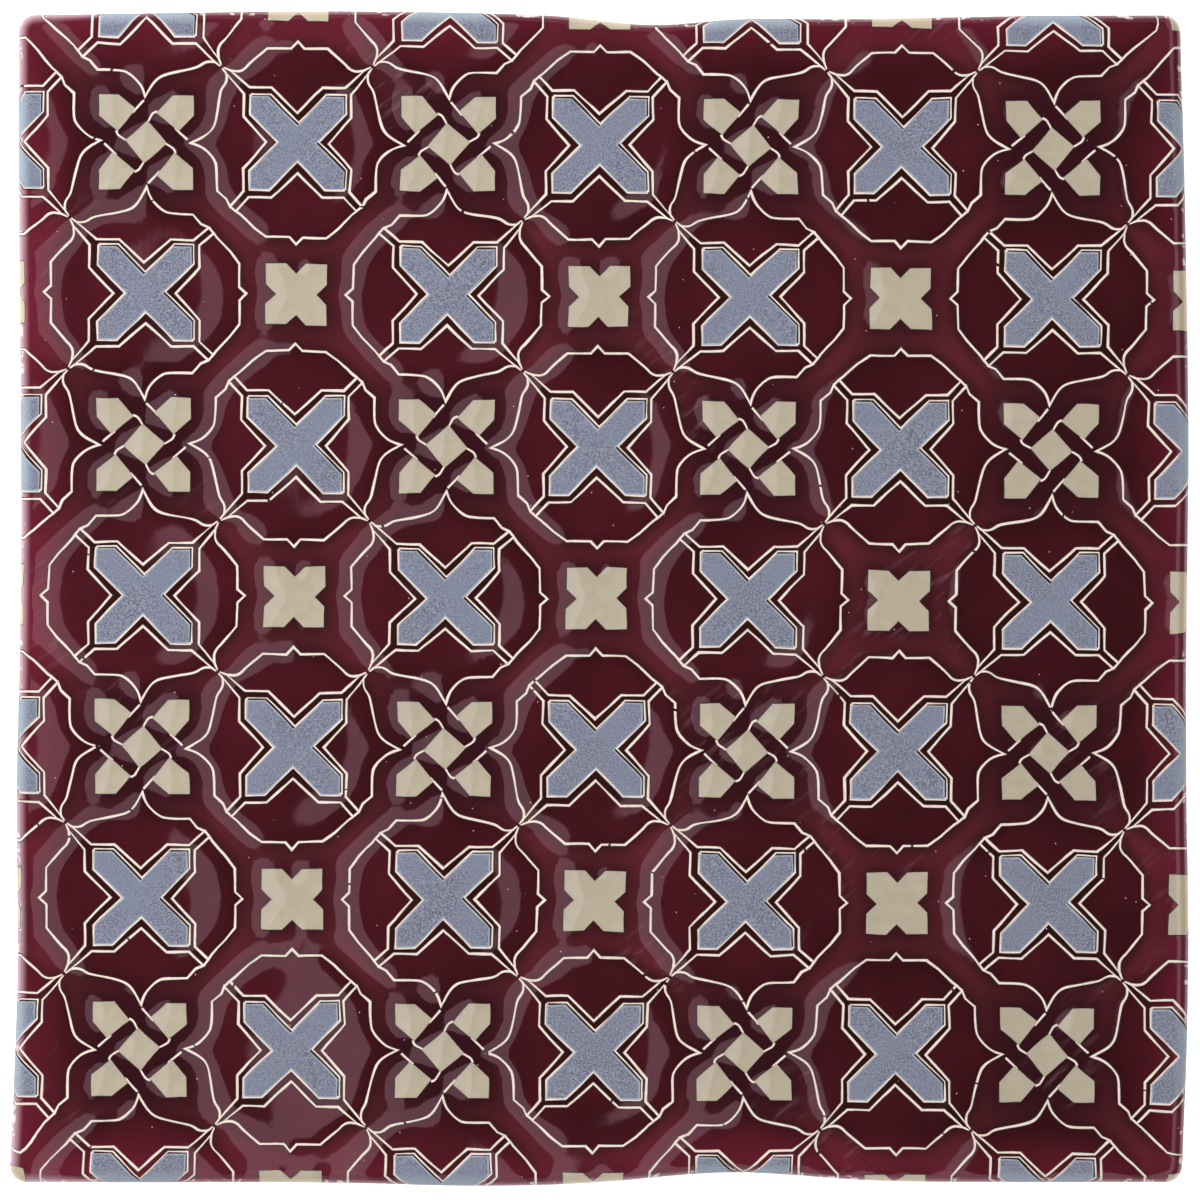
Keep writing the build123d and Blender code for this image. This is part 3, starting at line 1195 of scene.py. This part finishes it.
@dataclass(frozen=True)
class BurgundyGlaze:
    """A glossy glaze, poured: deep where it pools and paler where it runs thin.

    Names in _mm are real sizes on the tile, and a span is where a pattern starts and is full.
    """

    name: str
    deep: str
    thin: str
    woven: str
    crown_gain: float
    crest: str = ""
    # Lighter, redder glaze towards the edge, stronger on the left: partly thinner glaze, partly painted
    # reflection
    edge: str = "#712134"
    # Pale arris colour over the rounded edge: partly thin glaze, partly painted reflection, strongest on
    # the left
    arris: str = "#CBA6B4"
    chip: str = "#E6DCDA"
    rub: str = "#8C6470"
    rub_share: float = 0.0
    dust: str = "#D6C6C6"
    half_side_mm: float = 75.0
    # How much darker the glaze is drawn towards the right side of the tile
    drift: float = 0.16
    crest_span: tuple = (0.6, 1.0)
    crest_gain: float = 1.55
    # The edge glow: partly thinner glaze, partly painted reflection, wider and stronger towards the left
    glow_mm: float = 7.5
    glow_share: tuple = (1.3, 0.85)
    glow_run_mm: float = 50.0
    # The pale arris band is wider and stronger towards the left, where it is painted reflection as well as
    # thin glaze
    arris_mm: float = 0.7
    arris_thin_and_sheen_shares: tuple = (0.8, 0.15)
    arris_sheen_run_mm: float = 20.0
    arris_sheen_reach_mm: float = 1.6
    arris_sheen_reach_run_mm: float = 10.0
    chip_mm: float = 1.3
    chip_span: tuple = (0.6, 0.65)
    chip_inset_mm: float = 0.3
    chip_share: float = 0.85
    rub_mm: float = 0.8
    rub_turn: float = -0.87
    rub_stretch: float = 6.0
    rub_span: tuple = (0.55, 0.75)
    rub_patch: tuple = (0.6, 0.68)
    cloud_mm: float = 26.0
    lustre: str = "#FFC4D8"
    roughness: float = 0.05
    ior: float = 1.6
    mottle_mm: float = 12.0
    mottle_gain: float = 1.4
    mottle_base: float = -0.35
    speck_mm: float = 2.5
    speck_radius: float = 0.029
    peel_mm: float = 2.2
    peel_depth_mm: float = 0.02

    def build(self) -> bpy.types.Material:
        """Makes the material.

        Returns:
            The new material.
        """
        material, tree = new_material(self.name)
        coords = add_node(tree, "ShaderNodeTexCoord").outputs["Object"]
        across = add_node(tree, "ShaderNodeSeparateXYZ", None, {0: coords}).outputs["X"]
        crown = add_node(tree, "ShaderNodeAttribute", {"attribute_name": "crown"}).outputs["Fac"]
        weave = add_node(tree, "ShaderNodeAttribute", {"attribute_name": "weave"}).outputs["Fac"]
        mottle = add_node(tree, "ShaderNodeTexNoise", None, {
            "Vector": coords, "Scale": per_mm(self.mottle_mm), "Detail": 4.0,
            "Roughness": 0.55}).outputs["Fac"]
        cloud = add_node(tree, "ShaderNodeTexNoise", None, {
            "Vector": coords, "Scale": per_mm(self.cloud_mm), "Detail": 1.0}).outputs["Fac"]
        thin = add_node(tree, "ShaderNodeMath", {"operation": "MULTIPLY_ADD"}, {
            0: mottle, 1: self.mottle_gain, 2: self.mottle_base}).outputs[0]
        # Darker towards the right side of the tile
        thin = add_node(tree, "ShaderNodeMath", {"operation": "MULTIPLY_ADD"}, {
            0: across, 1: -self.drift * per_mm(self.half_side_mm), 2: thin}).outputs[0]
        thin = add_node(tree, "ShaderNodeMath", {"operation": "MULTIPLY_ADD", "use_clamp": True}, {
            0: crown, 1: self.crown_gain, 2: thin}).outputs[0]
        body = add_node(tree, "ShaderNodeMix", {"data_type": "RGBA"}, {
            "Factor": thin, 6: linear(self.deep), 7: linear(self.thin)}).outputs[2]
        coats = [(weave, self.woven), *self.edge_coats(tree, coords, across, cloud)]
        if self.crest:
            coats.insert(0, (self.ridge(tree, crown, mottle), self.crest))
        if self.rub_share:
            coats.append((self.streaks(tree, coords, cloud), self.rub))
        cells = add_node(tree, "ShaderNodeTexVoronoi", None, {
            "Vector": coords, "Scale": per_mm(self.speck_mm)}).outputs["Distance"]
        speck = add_node(tree, "ShaderNodeMath", {"operation": "LESS_THAN"}, {
            0: cells, 1: self.speck_radius}).outputs[0]
        for share, colour in (*coats, (speck, self.dust)):
            body = add_node(tree, "ShaderNodeMix", {"data_type": "RGBA"}, {
                "Factor": share, 6: body, 7: linear(colour)}).outputs[2]
        peel = add_node(tree, "ShaderNodeTexNoise", None, {
            "Vector": coords, "Scale": per_mm(self.peel_mm), "Detail": 2.0}).outputs["Fac"]
        bump = add_node(tree, "ShaderNodeBump", None, {
            "Strength": 0.25, "Distance": self.peel_depth_mm * MM, "Height": peel}).outputs[0]
        shader = add_node(tree, "ShaderNodeBsdfPrincipled", None, {
            "Base Color": body, "Roughness": self.roughness, "IOR": self.ior, "Normal": bump,
            "Specular Tint": linear(self.lustre)})
        add_node(tree, "ShaderNodeOutputMaterial", None, {"Surface": shader.outputs[0]})
        return material

    def ridge(self, tree: Tree, crown: Socket, mottle: Socket) -> Socket:
        """Where the glaze runs thinnest, along the crests of the straps.

        Args:
            tree: the material's nodes.
            crown: how high a point lies on its strap.
            mottle: the glaze's uneven flow.

        Returns:
            The share of the crest's colour.
        """
        ridge = add_node(tree, "ShaderNodeMapRange", {"interpolation_type": "SMOOTHSTEP"}, {
            "Value": crown, "From Min": self.crest_span[0], "From Max": self.crest_span[1],
            "To Max": mottle}).outputs[0]
        return add_node(tree, "ShaderNodeMath", {"operation": "MULTIPLY", "use_clamp": True}, {
            0: ridge, 1: self.crest_gain}).outputs[0]

    def edge_coats(self, tree: Tree, coords: Socket, across: Socket,
                   cloud: Socket) -> list[tuple[Socket, str]]:
        """What happens to the glaze near the tile's edge, most of it on the left: partly thin glaze and
        chips, partly painted reflection of the light from the left.

        Args:
            tree: the material's nodes.
            coords: the place on the tile.
            across: its X.
            cloud: a broad, soft pattern.

        Returns:
            The shares and colours of the redder glow and the pale arris, both partly thin glaze and partly
            painted reflection, and of the chips along the arris.
        """
        edge = add_node(tree, "ShaderNodeAttribute", {"attribute_name": "edge_mm"}).outputs["Fac"]
        left = -self.half_side_mm * MM
        runs = ((self.glow_run_mm, self.glow_share), (self.arris_sheen_run_mm, self.arris_thin_and_sheen_shares),
                (self.arris_sheen_reach_run_mm, (self.arris_sheen_reach_mm, self.arris_mm)))
        # The glow and the pale arris grow towards the left side, where they are painted reflection as well
        # as thin glaze
        sided, arris_thin_and_sheen, arris_sheen_reach = (add_node(tree, "ShaderNodeMapRange", None, {
            "Value": across, "From Min": left, "From Max": (run - self.half_side_mm) * MM,
            "To Min": ends[0], "To Max": ends[1]}).outputs[0] for run, ends in runs)
        fades = ((0.0, self.glow_mm, sided), (0.0, arris_sheen_reach, arris_thin_and_sheen),
                 (self.chip_inset_mm, self.arris_mm, self.chip_share))
        near, bare, brink = (add_node(tree, "ShaderNodeMapRange", {"interpolation_type": "SMOOTHSTEP"}, {
            "Value": edge, "From Min": start, "From Max": end, "To Min": share,
            "To Max": 0.0}).outputs[0] for start, end, share in fades)
        # Painted reflection in part: the lighter glow near the edge, broken up by the cloud
        glow = add_node(tree, "ShaderNodeMath", {"operation": "MULTIPLY", "use_clamp": True}, {
            0: near, 1: cloud}).outputs[0]
        chips = add_node(tree, "ShaderNodeTexNoise", None, {
            "Vector": coords, "Scale": per_mm(self.chip_mm), "Detail": 2.0}).outputs["Fac"]
        chips = add_node(tree, "ShaderNodeMapRange", None, {
            "Value": chips, "From Min": self.chip_span[0], "From Max": self.chip_span[1]}).outputs[0]
        chips = add_node(tree, "ShaderNodeMath", {"operation": "MULTIPLY"}, {0: chips, 1: brink}).outputs[0]
        return [(glow, self.edge), (bare, self.arris), (chips, self.chip)]

    def streaks(self, tree: Tree, coords: Socket, cloud: Socket) -> Socket:
        """Fine pale streaks where the glaze was rubbed, in a few patches.

        Args:
            tree: the material's nodes.
            coords: the place on the tile.
            cloud: a broad, soft pattern that picks the patches.

        Returns:
            The share of the rubbed colour.
        """
        along = add_node(tree, "ShaderNodeMapping", {"vector_type": "TEXTURE"}, {
            0: coords, "Rotation": (0.0, 0.0, self.rub_turn),
            "Scale": (1.0, self.rub_stretch, 1.0)}).outputs[0]
        streaks = add_node(tree, "ShaderNodeTexNoise", None, {
            "Vector": along, "Scale": per_mm(self.rub_mm), "Detail": 3.0}).outputs["Fac"]
        streaks = add_node(tree, "ShaderNodeMapRange", None, {
            "Value": streaks, "From Min": self.rub_span[0], "From Max": self.rub_span[1],
            "To Max": self.rub_share}).outputs[0]
        patch = add_node(tree, "ShaderNodeMapRange", None, {
            "Value": cloud, "From Min": self.rub_patch[0], "From Max": self.rub_patch[1]}).outputs[0]
        return add_node(tree, "ShaderNodeMath", {"operation": "MULTIPLY"}, {
            0: streaks, 1: patch}).outputs[0]


@dataclass(frozen=True)
class GrainedCoat:
    """A coat of two close tones mixed by a fine grain and a broad cloud.

    Names in _mm are real sizes on the tile, and a span is where a pattern starts and is full.
    """

    name: str
    light: str
    dark: str
    cloud: str
    grain_mm: float
    cloud_mm: float
    grain_share: float
    roughness: float
    ior: float = 1.5
    relief_mm: float = 0.01
    washed: str = ""
    washed_mm: tuple = (0.2, 1.8)
    washed_share: float = 0.5
    grain_span: tuple = (0.36, 0.64)
    cloud_span: tuple = (0.4, 0.65)
    cloud_share: float = 0.6

    def build(self) -> bpy.types.Material:
        """Makes the material.

        Returns:
            The new material.
        """
        material, tree = new_material(self.name)
        coords = add_node(tree, "ShaderNodeTexCoord").outputs["Object"]
        grain = add_node(tree, "ShaderNodeTexNoise", None, {
            "Vector": coords, "Scale": per_mm(self.grain_mm), "Detail": 3.0,
            "Roughness": 0.65}).outputs["Fac"]
        cloud = add_node(tree, "ShaderNodeTexNoise", None, {
            "Vector": coords, "Scale": per_mm(self.cloud_mm), "Detail": 2.0}).outputs["Fac"]
        share = add_node(tree, "ShaderNodeMapRange", None, {
            "Value": grain, "From Min": self.grain_span[0], "From Max": self.grain_span[1],
            "To Max": self.grain_share}).outputs[0]
        body = add_node(tree, "ShaderNodeMix", {"data_type": "RGBA"}, {
            "Factor": share, 6: linear(self.light), 7: linear(self.dark)}).outputs[2]
        drift = add_node(tree, "ShaderNodeMapRange", None, {
            "Value": cloud, "From Min": self.cloud_span[0], "From Max": self.cloud_span[1],
            "To Max": self.cloud_share}).outputs[0]
        coats = [(drift, self.cloud)]
        if self.washed:
            edge = add_node(tree, "ShaderNodeAttribute", {"attribute_name": "edge_mm"}).outputs["Fac"]
            wash = add_node(tree, "ShaderNodeMapRange", {"interpolation_type": "SMOOTHSTEP"}, {
                "Value": edge, "From Min": self.washed_mm[0], "From Max": self.washed_mm[1],
                "To Min": self.washed_share, "To Max": 0.0}).outputs[0]
            coats.append((wash, self.washed))
        for part, colour in coats:
            body = add_node(tree, "ShaderNodeMix", {"data_type": "RGBA"}, {
                "Factor": part, 6: body, 7: linear(colour)}).outputs[2]
        bump = add_node(tree, "ShaderNodeBump", None, {
            "Strength": 0.5, "Distance": self.relief_mm * MM, "Height": grain}).outputs[0]
        shader = add_node(tree, "ShaderNodeBsdfPrincipled", None, {
            "Base Color": body, "Roughness": self.roughness, "IOR": self.ior, "Normal": bump})
        add_node(tree, "ShaderNodeOutputMaterial", None, {"Surface": shader.outputs[0]})
        return material


# Burgundy glaze that ran thin over the raised straps: wet gloss, redder along the crests, rubbed pale
GLAZE_STRAP = BurgundyGlaze("burgundy_glaze_thin", "#38171B", "#471C21", "#331319", 0.3, "#5E242C",
                            rub_share=0.3)

# The same glaze pooled in the fields: thick, so darker and wine red, and wet looking
GLAZE_FIELD = BurgundyGlaze("burgundy_glaze_pooled", "#361116", "#531A25", "#361116", -0.8)

# The same glaze pooled deepest round the crosses: almost black brown, with a hard gloss
GLAZE_MOAT = BurgundyGlaze("brown_glaze_pooled", "#29120E", "#3A1819", "#29120E", -0.5)

# White slip trailed from a fine nozzle and glazed over: a smooth cream line that varies in warmth
TRAILED_LINE = GrainedCoat("cream_trailed_slip", "#F3E3D9", "#DEC8BC", "#F0DDCE", 0.8, 6.0, 0.7, 0.25)

# Greasy manganese line that keeps the glazes apart: thin, nearly black, half matt
MANGANESE = GrainedCoat("manganese_resist_line", "#1E0B0D", "#2A0F13", "#1E0B0D", 0.5, 6.0, 0.6, 0.3)

# Matt blue engobe, a coloured clay wash: speckled and dry; its grit is drawn coarser than life, to show
BLUE_ENGOBE = GrainedCoat("matt_blue_engobe", "#989BAC", "#4A4E62", "#7B8295", 0.2, 7.0, 1.0, 0.6,
                          relief_mm=0.02, washed="#B3C3CD")

# The engobe's rim, where the wash dried thin: the same blue, paler and smoother
PALE_ENGOBE = GrainedCoat("pale_engobe_rim", "#A6ADB8", "#8A92A1", "#A9B0B8", 0.3, 7.0, 0.8, 0.5,
                          relief_mm=0.02, washed="#B3C3CD")

# Cream glaze in the squares, pentagons and diamonds: a warm, even, glassy coat
CREAM_GLAZE = GrainedCoat("cream_glaze", "#B9AE9A", "#ADA28B", "#B4A994", 1.6, 5.0, 0.6, 0.05,
                          ior=1.6, washed="#CDB893")

# Bare fired clay of the lower sides and the back: buff, chalky and dry, with fine grog
BISQUE_CLAY = GrainedCoat("buff_bisque_clay", "#C6B49B", "#AE997E", "#BAA58A", 0.45, 11.0, 0.8, 0.85,
                          relief_mm=0.05)


@dataclass
class Studio:
    """White floor, white tent with a window and a dark opening, two soft lamps and the camera.

    The floor's gap and lap are in millimetres, and its growth is a multiple of the tile. The lamps'
    sizes and places are in metres. A span of the tent is given as the height, or the lean towards
    the window, of a way out from the tile.
    """

    outline: Outline
    image_px: int = 1200
    mm_per_px: float = 0.12848
    tile_middle_px: tuple = (602.3, 598.7)
    camera_height_mm: float = 2200.0
    focus_mm: float = 8.0
    sensor_mm: float = 36.0
    floor_growth: float = 53.0
    floor_gap: float = 0.05
    floor_lap: float = 0.8
    floor_lift: float = 0.8
    tent_level: float = 0.8
    tent_span: tuple = (0.47, 0.67)
    tent_foot: float = 0.35
    foot_span: tuple = (0.05, 0.45)
    opening_level: float = 0.03
    window_way: tuple = (0.99, -0.14, 0.0)
    window_edge: float = 0.065
    window_blur: float = 0.01
    window_level: float = 1.3
    window_far_level: float = 1.5
    window_dim: float = 0.15
    window_span: tuple = (0.4, 0.75)
    away_span: tuple = (0.0, 0.3)
    panel_size: tuple = (2.6, 1.7)
    panel_level: float = 0.3
    panel_azimuth: float = -38.0
    panel_zenith: float = 35.0
    panel_reach: float = 3.0
    lamp_at: tuple = (-0.5, 0.28, 0.45)
    lamp_side: float = 0.35
    lamp_level: float = 11.6

    def floor(self) -> bpy.types.Object:
        """A plain white floor that keeps the tile's shadow.

        It is clear when seen from below, and open under the tile so that light reaches the back.

        Returns:
            The floor's object.
        """
        mesh = bpy.data.meshes.new("floor")
        edge = self.outline.loop()
        spots = np.concatenate([edge * self.floor_growth, grown(edge, -self.floor_lap)])
        level = np.full((len(spots), 1), -self.floor_gap)
        ring = np.arange(len(edge))
        ahead = np.roll(ring, -1)
        quads = np.stack([ring, ahead, ahead + len(edge), ring + len(edge)], axis=1)
        mesh.from_pydata((np.concatenate([spots, level], axis=1) * MM).tolist(), [], quads.tolist())
        material, tree = new_material("white_floor")
        path = add_node(tree, "ShaderNodeLightPath")
        seen = add_node(tree, "ShaderNodeMath", {"operation": "ADD", "use_clamp": True}, {
            0: path.outputs["Is Camera Ray"], 1: path.outputs["Is Glossy Ray"]}).outputs[0]
        seen = add_node(tree, "ShaderNodeMath", {"operation": "ADD", "use_clamp": True}, {
            0: seen, 1: path.outputs["Is Transmission Ray"]}).outputs[0]
        lift = add_node(tree, "ShaderNodeMath", {"operation": "MULTIPLY"}, {
            0: seen, 1: self.floor_lift}).outputs[0]
        shader = add_node(tree, "ShaderNodeBsdfPrincipled", None, {
            "Base Color": linear("#F4F4F4"), "Roughness": 0.9, "Specular IOR Level": 0.0,
            "Emission Color": linear("#FFFFFF"), "Emission Strength": lift}).outputs[0]
        below = add_node(tree, "ShaderNodeNewGeometry").outputs["Backfacing"]
        clear = add_node(tree, "ShaderNodeBsdfTransparent").outputs[0]
        shader = add_node(tree, "ShaderNodeMixShader", None, {0: below, 1: shader, 2: clear})
        add_node(tree, "ShaderNodeOutputMaterial", None, {"Surface": shader.outputs[0]})
        mesh.materials.append(material)
        obj = bpy.data.objects.new("floor", mesh)
        bpy.context.scene.collection.objects.link(obj)
        return obj

    def world(self) -> None:
        """The white tent, open and dark about the zenith, and plain white behind everything."""
        world = bpy.data.worlds.new("tent")
        world.use_nodes = True
        tree = world.node_tree
        tree.nodes.clear()
        soft = {"interpolation_type": "SMOOTHSTEP"}
        way = add_node(tree, "ShaderNodeTexCoord").outputs["Generated"]
        up = add_node(tree, "ShaderNodeSeparateXYZ", None, {0: way}).outputs["Z"]
        steep = add_node(tree, "ShaderNodeMath", {"operation": "ABSOLUTE"}, {0: up}).outputs[0]
        lean = add_node(tree, "ShaderNodeVectorMath", {"operation": "DOT_PRODUCT"}, {
            0: way, 1: self.window_way}).outputs["Value"]
        edge = (self.window_edge - self.window_blur, self.window_edge + self.window_blur)
        fall = (self.window_edge, self.window_span[0])
        tent = ((soft, up, self.tent_span, (self.tent_level, self.opening_level)),
                (soft, lean, self.away_span, (1.0, 0.0)),
                (soft, steep, self.foot_span, (self.tent_foot, 1.0)))
        window = ((soft, lean, edge, (0.0, 1.0)),
                  ({}, lean, fall, (self.window_level, self.window_far_level)),
                  (soft, lean, self.window_span, (1.0, self.window_dim)))
        level = 0.0
        for ramps in (tent, window):
            share = 1.0
            for kind, source, span, ends in ramps:
                ramp = add_node(tree, "ShaderNodeMapRange", kind, {
                    "Value": source, "From Min": span[0], "From Max": span[1],
                    "To Min": ends[0], "To Max": ends[1]}).outputs[0]
                share = add_node(tree, "ShaderNodeMath", {"operation": "MULTIPLY"}, {
                    0: share, 1: ramp}).outputs[0]
            level = add_node(tree, "ShaderNodeMath", {"operation": "MAXIMUM"}, {
                0: level, 1: share}).outputs[0]
        path = add_node(tree, "ShaderNodeLightPath")
        level = add_node(tree, "ShaderNodeMix", {"data_type": "FLOAT"}, {
            0: path.outputs["Is Camera Ray"], 2: level, 3: 1.0}).outputs[0]
        back = add_node(tree, "ShaderNodeBackground", None, {
            "Color": linear("#FFFFFF"), "Strength": level})
        add_node(tree, "ShaderNodeOutputWorld", None, {"Surface": back.outputs[0]})
        bpy.context.scene.world = world

    def panel(self) -> None:
        """A soft panel to the lower right, high beside the camera, that the glaze mirrors."""
        light = bpy.data.lights.new("soft_panel", "AREA")
        light.shape = "RECTANGLE"
        light.size, light.size_y = self.panel_size
        light.energy = self.panel_level * math.pi * light.size * light.size_y
        obj = bpy.data.objects.new("soft_panel", light)
        azimuth, zenith = math.radians(self.panel_azimuth), math.radians(self.panel_zenith)
        flat = self.panel_reach * math.sin(zenith)
        obj.location = (flat * math.cos(azimuth), flat * math.sin(azimuth),
                        self.panel_reach * math.cos(zenith))
        obj.rotation_euler = Vector(obj.location).to_track_quat("Z", "Y").to_euler()
        bpy.context.scene.collection.objects.link(obj)

    def lamp(self) -> None:
        """A soft lamp near the upper left, which makes the light fall off across the tile."""
        light = bpy.data.lights.new("near_lamp", "AREA")
        light.size = self.lamp_side
        light.energy = self.lamp_level * math.pi * self.lamp_side ** 2
        obj = bpy.data.objects.new("near_lamp", light)
        obj.location = self.lamp_at
        obj.rotation_euler = Vector(self.lamp_at).to_track_quat("Z", "Y").to_euler()
        obj.visible_glossy = False
        bpy.context.scene.collection.objects.link(obj)

    def camera(self) -> None:
        """The camera straight above the face, framed as the photograph is."""
        lens = bpy.data.cameras.new("camera")
        lens.sensor_width = self.sensor_mm
        span = self.image_px * self.mm_per_px
        lens.lens = self.sensor_mm * (self.camera_height_mm - self.focus_mm) / span
        obj = bpy.data.objects.new("camera", lens)
        middle, scale = self.image_px / 2, self.mm_per_px * MM
        obj.location = ((middle - self.tile_middle_px[0]) * scale,
                        (self.tile_middle_px[1] - middle) * scale, self.camera_height_mm * MM)
        bpy.context.scene.collection.objects.link(obj)
        bpy.context.scene.camera = obj

    def build(self) -> None:
        """Sets the stage, the light, the camera and the plain view transform."""
        self.floor()
        self.world()
        self.panel()
        self.lamp()
        self.camera()
        bpy.context.scene.view_settings.view_transform = "Standard"


def main() -> None:
    """Builds the tile and its stage."""
    logging.basicConfig(level=logging.INFO, format="%(message)s")
    outline, pattern = Outline(), Strapwork()
    Studio(outline).build()
    body = TileBody(outline, pattern, Relief(pattern, Hand()))
    tile = body.build()
    body.dress(tile)
    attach(tile, "root")
    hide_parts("tile")
    LOG.info("%s: %d points, %d faces", tile.name, len(tile.data.vertices), len(tile.data.polygons))


if __name__ == "__main__":
    main()
